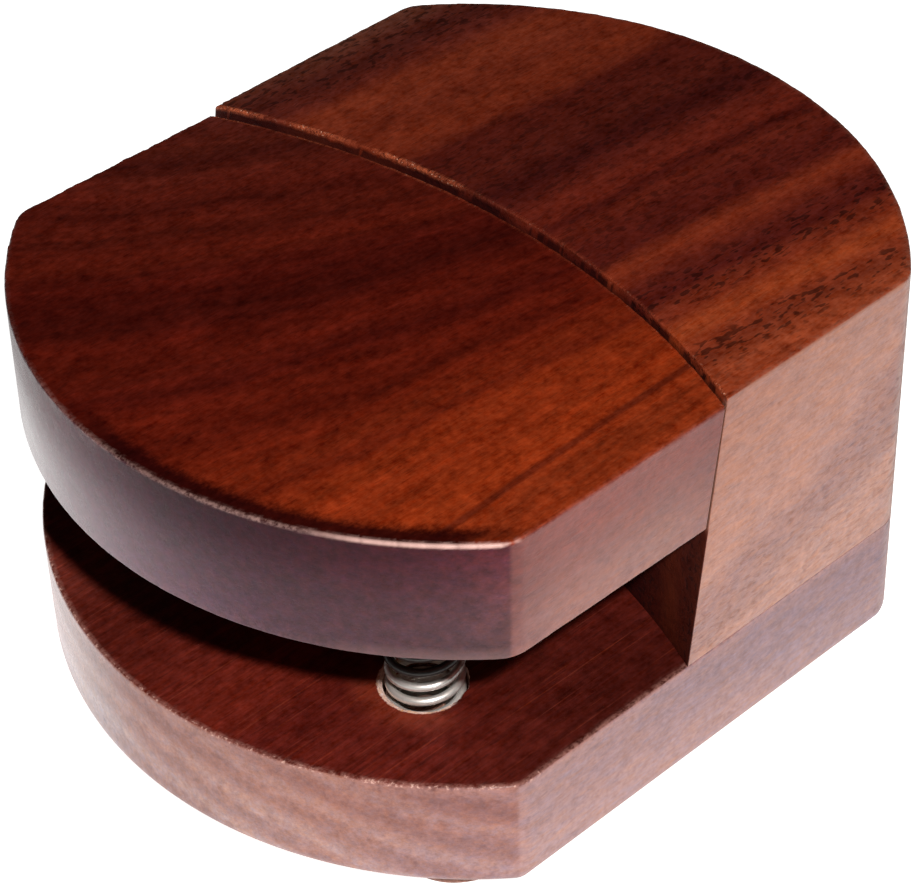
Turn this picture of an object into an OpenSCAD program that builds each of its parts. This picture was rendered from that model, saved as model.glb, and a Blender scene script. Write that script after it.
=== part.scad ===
// Hand clamp for leather work: a sprung wooden jaw hinged to a block on a round-ended base board.
// Millimetres. +Z up, -Y is the open mouth, the origin is under the middle of the feet.

/* [Plan outline] */
// Width across the two side flats
flat_w = 80; // [70:1:90]
// Radius of the front curve
front_r = 51.15; // [49:0.05:53]
// How far the front curve's centre lies in front of the rear curve's centre (negative is behind)
front_c = 2.12; // [0:0.01:4]
// Radius of the rear curve
rear_r = 50.34; // [49:0.01:53]
// Y of the rear curve's centre
rear_c = -0.665; // [-2:0.005:1]

/* [Boards] */
// Thickness of the base board
base_t = 15.4; // [12:0.1:18]
// Height of the rear block above the base board
block_h = 34.9; // [32:0.1:40]
// Thickness of the jaw board
jaw_t = 15.4; // [12:0.1:16]
// Clear height of the mouth, base board to jaw
mouth_h = 18.55; // [17:0.05:20]
// Radius on the bottom edge of the base board
edge_r = 2; // [1:0.1:4]
// How far the jaw's front curve stands forward of the base board's
jaw_fwd = 0.65; // [0:0.05:1]
// Angle at which the jaw rests, front edge up, in degrees
jaw_tilt = 0.717; // [0:0.001:1]

/* [Curved saw cut] */
// Radius of the cut between block and jaw
cut_r = 101.4; // [95:0.1:110]
// Sideways offset of the cut's centre
cut_x = 1.95; // [-2:0.05:2]
// Y of the cut's furthest point at the top of the block
cut_y = 8.17; // [6:0.01:10]
// Forward lean of the cut towards the base, in degrees
cut_lean = 8.14; // [6:0.01:10]
// Gap between the jaw's back and the block
cut_gap = 0.55; // [0.5:0.05:1]
// Sideways shift of the jaw's curved back, which closes the gap towards the right
cut_shift = 0.6; // [0:0.05:0.6]

/* [Springs] */
// Distance of each spring from the middle plane
spring_x = 21; // [18:0.5:23]
// Y of the springs
spring_y = -25.9; // [-29:0.1:-23]
// Outside diameter of a spring
spring_od = 9; // [8:0.1:9.4]
// Wire diameter
wire_d = 1; // [0.8:0.1:1.2]
// Diameter of the drilled spring pockets
pocket_d = 9.8; // [9.6:0.1:11]
// Depth of the drilled spring pockets
pocket_h = 5; // [3:0.5:7]
// Active turns between the closed ends
turns = 11; // [8:1:12]

/* [Hinge] */
// Length of the hinge along its pin
hinge_w = 25; // [20:1:30]
// Thickness of a leaf
leaf_t = 1; // [0.8:0.1:1.2]
// Length of a leaf from the pin's axis
leaf_l = 14; // [12:0.5:15]
// Outside radius of the knuckles
knuckle_r = 1.9; // [1.7:0.05:1.9]
// Radius of the hinge pin
pin_r = 1; // [0.8:0.05:1.1]
// Sideways position of the leaf screws
leaf_screw_x = 8; // [6:0.5:9]

/* [Feet] */
// Height of a foot pad
foot_h = 1; // [0.8:0.1:3]
// Radius of a foot pad
foot_r = 7.5; // [6:0.1:8]
// Sideways position of the foot pads
foot_x = 28.7; // [26:0.1:29]
// Distance of the foot pads from the middle line, front and rear
foot_y = 29.2; // [26:0.1:29.5]

/* [Hidden] */

base_top = foot_h + base_t;
block_top = base_top + block_h;
jaw_z = base_top + mouth_h;
// the hinge axis lies 2 mm below the jaw and 2 mm in front of the block's hinge seat
axis_d = 2;
axis_z = jaw_z - axis_d;
axis_y = cut_y - tan(cut_lean) * (block_top - axis_z) - axis_d / cos(cut_lean);
// running clearance on the pin, and play between knuckles
fit_c = 0.05;
play = 0.15;
seat_t = 0.5;
knuckle = hinge_w / 5;
screw_z = -8.5;

module disc(r, y, z0, z1, e = 0)
    translate([0, y, 0])
        rotate_extrude($fn = 180)
            if (e > 0)
                difference() {
                    translate([0, z0]) square([r, z1 - z0]);
                    difference() {
                        translate([r - e, z0 - 1]) square([e + 1, e + 1]);
                        translate([r - e, z0 + e]) circle(r = e, $fn = 48);
                    }
                }
            else
                translate([0, z0]) square([r, z1 - z0]);

// slab between the two side flats, with its lower long edges rounded
module flats(z0, z1, e = 0)
    translate([0, 70, 0]) rotate([90, 0, 0])
        linear_extrude(140)
            if (e > 0)
                difference() {
                    translate([-flat_w / 2, z0]) square([flat_w, z1 - z0]);
                    for (s = [-1, 1])
                        difference() {
                            translate([s * flat_w / 2 - (s > 0 ? e : 1), z0 - 1]) square([e + 1, e + 1]);
                            translate([s * (flat_w / 2 - e), z0 + e]) circle(r = e, $fn = 48);
                        }
                }
            else
                translate([-flat_w / 2, z0]) square([flat_w, z1 - z0]);

// cylinder of the saw cut; g is the amount taken off its radius
module cut(g = 0)
    translate([cut_x, cut_y - cut_r / cos(cut_lean), block_top])
        rotate([-cut_lean, 0, 0])
            translate([0, 0, -70]) cylinder(r = cut_r - g, h = 100, $fn = 240);

// frame of the hinge's block side: its Z leans with the cut, its origin is the pin's axis
module lean() translate([0, axis_y, axis_z]) rotate([-cut_lean, 0, 0]) children();

// frame of the jaw at rest: tilted about the pin's axis
module jaw_rest() translate([0, axis_y, axis_z]) rotate([-jaw_tilt, 0, 0]) translate([0, -axis_y, -axis_z]) children();

// hole for a block screw, countersunk under the base board
module block_screw_hole(x, y) {
    translate([x, y, foot_h - 1]) cylinder(r = 4.1, h = 1.4, $fn = 64);
    translate([x, y, foot_h + 0.4]) cylinder(r1 = 4.1, r2 = 2.1, h = 2, $fn = 64);
    translate([x, y, foot_h + 1]) cylinder(r = 2.1, h = 40, $fn = 64);
}

module block_screw(x, y)
    color("lightgray")
    translate([x, y, foot_h + 0.4])
        difference() {
            union() {
                cylinder(r1 = 4, r2 = 2, h = 2, $fn = 64);
                translate([0, 0, 1.9]) cylinder(r = 2, h = 33.7, $fn = 64);
                translate([0, 0, 35.6]) cylinder(r1 = 2, r2 = 0.4, h = 3, $fn = 64);
            }
            for (a = [0, 90]) rotate([0, 0, a]) translate([-2.2, -0.45, -1]) cube([4.4, 0.9, 2.4]);
        }

module base_disc()
    color("sienna")
    difference() {
        intersection() {
            disc(front_r, front_c, foot_h, base_top, edge_r);
            disc(rear_r, rear_c, foot_h, base_top, edge_r);
            flats(foot_h, base_top, edge_r);
        }
        for (s = [-1, 1])
            translate([s * spring_x, spring_y, base_top - pocket_h]) cylinder(r = pocket_d / 2, h = pocket_h + 1, $fn = 96);
        block_screw_hole(-17, 17);
        block_screw_hole(17, 17);
        block_screw_hole(0, 36);
    }

module rear_block()
    color("saddlebrown")
    difference() {
        intersection() {
            disc(front_r, front_c, base_top, block_top);
            disc(rear_r, rear_c, base_top, block_top);
            flats(base_top, block_top);
        }
        cut();
        // seat that lets the flat hinge leaf lie in the curved face
        lean() translate([-hinge_w / 2 - 0.2, -6, -leaf_l - 0.2]) cube([hinge_w + 0.4, 6 + axis_d, leaf_l + 2.8]);
        lean() for (s = [-1, 1])
            translate([s * leaf_screw_x, 0, screw_z]) rotate([-90, 0, 0]) cylinder(r = 1.05, h = axis_d + 9, $fn = 48);
        for (p = [[-17, 17], [17, 17], [0, 36]])
            translate([p[0], p[1], base_top - 1]) cylinder(r = 2.05, h = foot_h + 40.2 - base_top, $fn = 64);
    }

module front_jaw()
    color("brown")
    jaw_rest()
    difference() {
        intersection() {
            disc(front_r, front_c - jaw_fwd, jaw_z, jaw_z + jaw_t);
            flats(jaw_z, jaw_z + jaw_t);
            translate([cut_shift, 0, 0]) cut(cut_gap);
        }
        for (s = [-1, 1])
            translate([s * spring_x, spring_y, jaw_z - 1]) cylinder(r = pocket_d / 2, h = pocket_h + 1, $fn = 96);
        for (s = [-1, 1])
            translate([s * leaf_screw_x, axis_y + screw_z, jaw_z - 1]) cylinder(r = 1.05, h = 10, $fn = 48);
    }

// one spring: closed end turns, then an even pitch between them
function climb(t, h) =
    let (e = 1.5, pe = wire_d * 1.03, n = turns + 2 * e, p = (h - 2 * e * pe) / turns)
    t < e ? t * pe : t > n - e ? h - (n - t) * pe : e * pe + (t - e) * p;

module spring(x) {
    seg = 16;
    sides = 6;
    mean = (spring_od - wire_d) / 2;
    z0 = base_top - pocket_h + seat_t + 0.05 + wire_d / 2;
    z1 = axis_z + (axis_y - spring_y) * tan(jaw_tilt) + axis_d + pocket_h - seat_t - 0.12 - wire_d / 2;
    n = turns + 3;
    rings = n * seg;
    pts = [for (i = [0 : rings]) let (t = i / seg, a = 360 * t, z = z0 + climb(t, z1 - z0))
        for (j = [0 : sides - 1]) let (b = 360 * j / sides, r = mean + wire_d / 2 * cos(b))
            [x + r * cos(a), spring_y + r * sin(a), z + wire_d / 2 * sin(b)]];
    side_faces = [for (i = [0 : rings - 1]) for (j = [0 : sides - 1]) let (k = (j + 1) % sides)
        [i * sides + j, i * sides + k, (i + 1) * sides + k, (i + 1) * sides + j]];
    caps = [[for (j = [sides - 1 : -1 : 0]) j], [for (j = [0 : sides - 1]) rings * sides + j]];
    color("silver") polyhedron(points = pts, faces = concat(side_faces, caps), convexity = 20);
}

module left_spring() spring(-spring_x);
module right_spring() spring(spring_x);

// knuckles k0, k0 + 2, ... along the pin
module knuckles(k0)
    for (k = [k0 : 2 : 4])
        translate([-hinge_w / 2 + k * knuckle + (k > 0 ? play / 2 : 0), 0, 0]) rotate([0, 90, 0])
            cylinder(r = knuckle_r, h = knuckle - (k > 0 ? play / 2 : 0) - (k < 4 ? play / 2 : 0), $fn = 64);

// room for the other leaf's knuckles
module knuckle_room(k0)
    for (k = [k0 : 2 : 4])
        translate([-hinge_w / 2 + k * knuckle - play / 2, -knuckle_r - 0.3, -knuckle_r - 0.3])
            cube([knuckle + play, 2 * knuckle_r + 0.6, 2 * knuckle_r + 0.6]);

// leaf in its own frame: the pin on X, the plate hanging down -Z behind the pin
module leaf(mine, other)
    difference() {
        union() {
            difference() {
                translate([-hinge_w / 2, axis_d - leaf_t, -leaf_l]) cube([hinge_w, leaf_t, leaf_l]);
                knuckle_room(other);
            }
            knuckles(mine);
        }
        translate([-hinge_w, 0, 0]) rotate([0, 90, 0]) cylinder(r = pin_r + fit_c, h = 2 * hinge_w, $fn = 64);
        for (s = [-1, 1])
            translate([s * leaf_screw_x, axis_d, screw_z]) rotate([90, 0, 0]) {
                translate([0, 0, -1]) cylinder(r = 1.1, h = 3, $fn = 48);
                cylinder(r1 = 1.1, r2 = 2.1, h = leaf_t, $fn = 48);
                translate([0, 0, leaf_t]) cylinder(r = 2.1, h = 1, $fn = 48);
            }
    }

// two slotted screws holding a leaf, in the leaf's frame
module leaf_screws()
    for (s = [-1, 1])
        translate([s * leaf_screw_x, axis_d, screw_z]) rotate([90, 0, 0])
            difference() {
                union() {
                    cylinder(r1 = 1, r2 = 2, h = leaf_t, $fn = 48);
                    translate([0, 0, -6.5]) cylinder(r = 1, h = 6.6, $fn = 48);
                    translate([0, 0, -8]) cylinder(r1 = 0.2, r2 = 1, h = 1.5, $fn = 48);
                }
                rotate([0, 0, s * 25]) translate([-3, -0.3, leaf_t - 0.5]) cube([6, 0.6, 1]);
            }

// the jaw's leaf is the same shape, with the plate running forward under the jaw
module jaw_side() jaw_rest() translate([0, axis_y, axis_z]) rotate([-90, 0, 0]) mirror([0, 1, 0]) children();

module block_hinge_leaf() color("darkgoldenrod") lean() leaf(0, 1);
module jaw_hinge_leaf() color("darkgoldenrod") jaw_side() leaf(1, 0);
module block_leaf_screws() color("gold") lean() leaf_screws();
module jaw_leaf_screws() color("gold") jaw_side() leaf_screws();
module hinge_pin() color("goldenrod") translate([-hinge_w / 2 - 0.1, axis_y, axis_z]) rotate([0, 90, 0]) cylinder(r = pin_r, h = hinge_w + 0.2, $fn = 64);

module left_block_screw() block_screw(-17, 17);
module right_block_screw() block_screw(17, 17);
module rear_block_screw() block_screw(0, 36);

// a round pad with a softened lower edge
module foot(x, y)
    color("peru")
    translate([x, y, 0]) rotate_extrude($fn = 96)
        polygon([[0, 0], [foot_r - 0.5, 0], [foot_r - 0.15, 0.15], [foot_r, 0.5], [foot_r, foot_h], [0, foot_h]]);

module front_left_foot() foot(-foot_x, -foot_y);
module front_right_foot() foot(foot_x, -foot_y);
module rear_left_foot() foot(-foot_x, foot_y);
module rear_right_foot() foot(foot_x, foot_y);

// washer that keeps a spring's end from digging into the wood
module seat(x, z)
    color("lightgray")
    translate([x, spring_y, z])
        difference() {
            cylinder(r = spring_od / 2 + 0.2, h = seat_t, $fn = 64);
            translate([0, 0, -1]) cylinder(r = 2.2, h = 3, $fn = 48);
        }

module left_base_spring_seat() seat(-spring_x, base_top - pocket_h);
module right_base_spring_seat() seat(spring_x, base_top - pocket_h);
module left_jaw_spring_seat() jaw_rest() seat(-spring_x, jaw_z + pocket_h - seat_t);
module right_jaw_spring_seat() jaw_rest() seat(spring_x, jaw_z + pocket_h - seat_t);

base_disc();
rear_block();
front_jaw();
left_spring();
right_spring();
block_hinge_leaf();
jaw_hinge_leaf();
hinge_pin();
block_leaf_screws();
jaw_leaf_screws();
left_block_screw();
right_block_screw();
rear_block_screw();
front_left_foot();
front_right_foot();
rear_left_foot();
rear_right_foot();
left_base_spring_seat();
right_base_spring_seat();
left_jaw_spring_seat();
right_jaw_spring_seat();
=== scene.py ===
import math

import bpy
import numpy as np
from mathutils import Matrix, Vector


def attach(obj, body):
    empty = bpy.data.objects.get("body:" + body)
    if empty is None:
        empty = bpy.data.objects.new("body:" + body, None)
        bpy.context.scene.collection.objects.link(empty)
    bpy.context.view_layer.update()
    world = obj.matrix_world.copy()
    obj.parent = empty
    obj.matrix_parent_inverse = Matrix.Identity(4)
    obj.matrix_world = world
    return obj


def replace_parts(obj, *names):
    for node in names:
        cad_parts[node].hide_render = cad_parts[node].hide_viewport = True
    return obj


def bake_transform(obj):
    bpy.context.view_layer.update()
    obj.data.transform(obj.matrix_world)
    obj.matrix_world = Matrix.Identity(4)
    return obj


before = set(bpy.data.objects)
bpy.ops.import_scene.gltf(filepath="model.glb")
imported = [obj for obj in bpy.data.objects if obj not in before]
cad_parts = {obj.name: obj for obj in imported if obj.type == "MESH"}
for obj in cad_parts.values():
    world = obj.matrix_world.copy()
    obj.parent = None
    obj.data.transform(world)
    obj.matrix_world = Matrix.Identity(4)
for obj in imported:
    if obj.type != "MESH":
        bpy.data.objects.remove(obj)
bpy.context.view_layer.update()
scene = bpy.context.scene
MM = 0.001

# ---------------------------------------------------------------- dimensions (mm), as in the CAD
HALF_W = 40.0
FRONT_R, FRONT_C = 51.15, 2.12
REAR_R, REAR_C = 50.34, -0.665
JAW_C = FRONT_C - 0.65
FOOT_H, BASE_TOP, BLOCK_TOP = 1.0, 16.4, 51.3
JAW_Z, JAW_T = 34.95, 15.4
CUT_R, CUT_X, CUT_Y, LEAN, GAP, SHIFT = 101.4, 1.95, 8.17, math.radians(8.14), 0.55, 0.6
COS_L, TAN_L = math.cos(LEAN), math.tan(LEAN)
CUT_C = CUT_Y - CUT_R / COS_L
AXIS_Z = JAW_Z - 2
AXIS_Y = CUT_Y - TAN_L * (BLOCK_TOP - AXIS_Z) - 2 / COS_L
TILT = math.radians(0.717)
SPRING_X, SPRING_Y = 21.0, -25.9


def hash_noise(p, seed):
    """Smooth value noise of 1-D positions p, in -1..1, the same on every run."""
    rng = np.random.default_rng(seed)
    table = rng.uniform(-1, 1, 4096)
    i = np.floor(p).astype(int)
    f = p - i
    f = f * f * (3 - 2 * f)
    return table[i % 4096] * (1 - f) + table[(i + 1) % 4096] * f


def step(v, a, b):
    t = np.clip((v - a) / (b - a), 0, 1)
    return t * t * (3 - 2 * t)


# ---------------------------------------------------------------- plan outlines as distance fields
def join(a, b, r):
    return np.minimum(-r, np.maximum(a, b)) + np.hypot(np.maximum(a + r, 0), np.maximum(b + r, 0))


def disc(x, y, c, r):
    return np.hypot(x, y - c) - r


def sides(x):
    return np.abs(x) - HALF_W


def cut(x, y, z, shift=0.0):
    """Distance outside the cylinder of the curved saw cut."""
    return np.hypot(x - CUT_X - shift, (y - (CUT_C + TAN_L * (z - BLOCK_TOP))) * COS_L) - CUT_R


def base_field(x, y, z):
    return join(join(disc(x, y, FRONT_C, FRONT_R), disc(x, y, REAR_C, REAR_R), 0.2), sides(x), 0.9)


def block_field(x, y, z):
    return join(join(disc(x, y, REAR_C, REAR_R), sides(x), 0.9), -cut(x, y, z), 0.1)


def jaw_field(x, y, z):
    return join(join(disc(x, y, JAW_C, FRONT_R), sides(x), 0.9), cut(x, y, z, SHIFT) + GAP, 0.12)


def rays(field, centre, angles, z, inset):
    c, s = np.cos(angles), np.sin(angles)
    lo = np.zeros(np.broadcast(angles, z, inset).shape)
    hi = lo + 95.0
    for _ in range(42):
        m = (lo + hi) / 2
        inside = field(centre[0] + m * c, centre[1] + m * s, z) + inset < 0
        lo = np.where(inside, m, lo)
        hi = np.where(inside, hi, m)
    return lo


def spread_angles(field, centre, z, n):
    """n angles whose rays meet the outline at even spacing, closer together round the corners."""
    a = np.linspace(0, 2 * math.pi, 9001)[:-1]
    r = rays(field, centre, a, np.full_like(a, z), np.zeros_like(a))
    p = np.stack([r * np.cos(a), r * np.sin(a)], 1)
    d = np.roll(p, -1, 0) - p
    length = np.hypot(d[:, 0], d[:, 1])
    turn = np.unwrap(np.arctan2(d[:, 1], d[:, 0]))
    bend = np.abs(np.roll(turn, -1) - turn)
    bend[-1] = bend[-2]
    bend = np.convolve(np.r_[bend[-40:], bend, bend[:40]], np.ones(41) / 41, "same")[40:-40]
    weight = length * (1 + np.clip(bend / length * 5, 0, 5))
    total = np.r_[0, np.cumsum(weight)]
    want = np.linspace(0, total[-1], n + 1)[:-1]
    return np.interp(want, total, np.r_[a, 2 * math.pi])


def cut_corners(centre, gap, shift):
    """Angles, seen from the centre, of the two corners where the leaning saw cut meets the side flats."""

    def angles(z):
        out = []
        for x in (-HALF_W, HALF_W):
            y = CUT_C + TAN_L * (z - BLOCK_TOP) + math.sqrt((CUT_R - gap) ** 2 - (x - CUT_X - shift) ** 2) / COS_L
            out.append(math.atan2(y - centre[1], x - centre[0]) % (2 * math.pi))
        return sorted(out)

    return angles


def follow(a, fixed, moving, z, z_mid):
    """The angles a of mid height, shifted so that rays keep to the same corners at height z."""
    start = [0.0, *fixed, *moving(z_mid), 2 * math.pi]
    end = [0.0, *fixed, *moving(z), 2 * math.pi]
    return np.interp(a, sorted(start), sorted(end))


def board(name, field, centre, z0, z1, bottom, top, n=760, corners=None, fixed=()):
    """A closed board: caps, eased or rounded edges and sides, as rings about the centre."""
    a = spread_angles(field, centre, (z0 + z1) / 2, n)
    r = rays(field, centre, a, np.full_like(a, z1), np.zeros_like(a))
    ex, ey = centre[0] + r * np.cos(a), centre[1] + r * np.sin(a)
    e0, e1 = bottom(ex, ey), top(ex, ey)
    rings = []
    bend0 = np.linspace(0, 1, 8 if e0.max() > 1 else 5) * math.pi / 2
    bend1 = np.linspace(0, 1, 6) * math.pi / 2
    for t in bend0:
        rings.append((z0 + e0 * (1 - np.cos(t)), e0 * (1 - np.sin(t))))
    zs = np.linspace(0, 1, max(6, int((z1 - z0) / 1.5)))
    for t in [0.012, *zs[1:-1], 0.988]:
        rings.append((z0 + e0 + (z1 - e1 - z0 - e0) * t, np.zeros_like(a)))
    for t in bend1:
        rings.append((z1 - e1 * (1 - np.sin(t)), e1 * (1 - np.cos(t))))
    z = np.array([k[0] for k in rings])
    d = np.array([k[1] for k in rings])
    turned_to = np.broadcast_to(a, z.shape)
    if corners:
        mid = (z0 + z1) / 2
        turned_to = np.stack([follow(a, fixed, corners, float(row.mean()), mid) for row in z])
    rr = rays(field, centre, turned_to, z, d)
    levels = [(z[i], rr[i], turned_to[i]) for i in range(len(rings))]
    inner = [0.4, 0.9, 1.8, 3.4]
    share = [0.86, 0.7, 0.54, 0.38, 0.22, 0.1]
    first, last = turned_to[0], turned_to[-1]
    low = [(z[0], (rr[0] - 3.4) * s, first) for s in reversed(share)] + [(z[0], rr[0] - t, first) for t in reversed(inner)]
    high = [(z[-1], rr[-1] - t, last) for t in inner] + [(z[-1], (rr[-1] - 3.4) * s, last) for s in share]
    levels = low + levels + high
    verts = [np.stack([centre[0] + q * np.cos(w), centre[1] + q * np.sin(w), np.broadcast_to(h, q.shape)], 1) for h, q, w in levels]
    k = len(levels)
    verts = np.concatenate([*verts, [[centre[0], centre[1], z0], [centre[0], centre[1], z1]]])
    i = np.arange(n)
    j = (i + 1) % n
    faces = []
    for q in range(k - 1):
        faces += np.stack([q * n + i, q * n + j, (q + 1) * n + j, (q + 1) * n + i], 1).tolist()
    faces += [[k * n, int(j[m]), int(i[m])] for m in range(n)]
    faces += [[k * n + 1, (k - 1) * n + int(i[m]), (k - 1) * n + int(j[m])] for m in range(n)]
    return make(name, verts, faces)


def make(name, verts, faces):
    mesh = bpy.data.meshes.new(name)
    mesh.from_pydata((np.asarray(verts) * MM).tolist(), [], faces)
    mesh.validate()
    mesh.update()
    obj = bpy.data.objects.new(name, mesh)
    scene.collection.objects.link(obj)
    return obj


def turned(name, profile, segs=96, matrix=None, wobble=None):
    """A solid of revolution about Z. profile runs from the axis at the bottom to the axis at the top."""
    ang = np.linspace(0, 2 * math.pi, segs, endpoint=False)
    verts, rings = [], []
    for k, (r, z) in enumerate(profile[1:-1]):
        rad = np.full(segs, float(r))
        zz = np.full(segs, float(z))
        if wobble:
            rad, zz = wobble(k, ang, rad, zz)
        rings.append(len(verts))
        verts += np.stack([rad * np.cos(ang), rad * np.sin(ang), zz], 1).tolist()
    bottom, top = len(verts), len(verts) + 1
    verts += [[0, 0, profile[0][1]], [0, 0, profile[-1][1]]]
    faces = []
    for s in range(segs):
        t = (s + 1) % segs
        faces.append([bottom, rings[0] + t, rings[0] + s])
        for a, b in zip(rings, rings[1:]):
            faces.append([a + s, a + t, b + t, b + s])
        faces.append([top, rings[-1] + s, rings[-1] + t])
    verts = np.array(verts)
    if matrix is not None:
        m = np.array(matrix)
        verts = verts @ m[:3, :3].T + m[:3, 3]
    return make(name, verts, faces)


def box_cutter(name, lo, hi, matrix):
    c = np.array([[x, y, z] for z in (lo[2], hi[2]) for y in (lo[1], hi[1]) for x in (lo[0], hi[0])], float)
    m = np.array(matrix)
    return make(name, c @ m[:3, :3].T + m[:3, 3], [[0, 2, 3, 1], [4, 5, 7, 6], [0, 1, 5, 4], [2, 6, 7, 3], [0, 4, 6, 2], [1, 3, 7, 5]])


def carve(obj, cutters):
    """Cuts every cutter out of obj with exact booleans; the cut faces keep the cutter's material."""
    for c in cutters:
        m = obj.modifiers.new("cut", "BOOLEAN")
        m.operation, m.solver, m.object = "DIFFERENCE", "EXACT", c
        m.material_mode = "TRANSFER"
    bpy.context.view_layer.update()
    made = bpy.data.meshes.new_from_object(obj.evaluated_get(bpy.context.evaluated_depsgraph_get()))
    obj.modifiers.clear()
    old = obj.data
    obj.data = made
    made.name = obj.name
    bpy.data.meshes.remove(old)
    for c in cutters:
        m = c.data
        bpy.data.objects.remove(c)
        bpy.data.meshes.remove(m)
    return obj


def soften(obj, degrees=32):
    obj.data.polygons.foreach_set("use_smooth", [True] * len(obj.data.polygons))
    obj.data.set_sharp_from_angle(angle=math.radians(degrees))
    obj.data.update()


def points(obj):
    co = np.zeros(len(obj.data.vertices) * 3, np.float32)
    obj.data.vertices.foreach_get("co", co)
    return co.reshape(-1, 3).astype(float) / MM


def put(obj, name, values):
    a = obj.data.attributes.new(name, "FLOAT", "POINT")
    a.data.foreach_set("value", np.asarray(values, np.float32))


def about(axis_point, angle):
    c = Vector(axis_point)
    return Matrix.Translation(c) @ Matrix.Rotation(angle, 4, "X") @ Matrix.Translation(-c)


JAW_REST = about((0, AXIS_Y, AXIS_Z), -TILT)
LEANED = Matrix.Translation(Vector((0, AXIS_Y, AXIS_Z))) @ Matrix.Rotation(-LEAN, 4, "X")


# ---------------------------------------------------------------- shader graph helpers
def lin(c):
    c = np.asarray(c, float) / 255
    return np.where(c <= 0.04045, c / 12.92, ((c + 0.055) / 1.055) ** 2.4)


class Val:
    """A number in a shader graph, with ordinary arithmetic."""

    def __init__(self, g, socket):
        self.g, self.s = g, socket

    def __add__(self, o):
        return self.g.math("ADD", self, o)

    __radd__ = __add__

    def __sub__(self, o):
        return self.g.math("SUBTRACT", self, o)

    def __rsub__(self, o):
        return self.g.math("SUBTRACT", o, self)

    def __mul__(self, o):
        return self.g.math("MULTIPLY", self, o)

    __rmul__ = __mul__

    def __truediv__(self, o):
        return self.g.math("DIVIDE", self, o)

    def __neg__(self):
        return self.g.math("MULTIPLY", self, -1.0)


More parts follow.
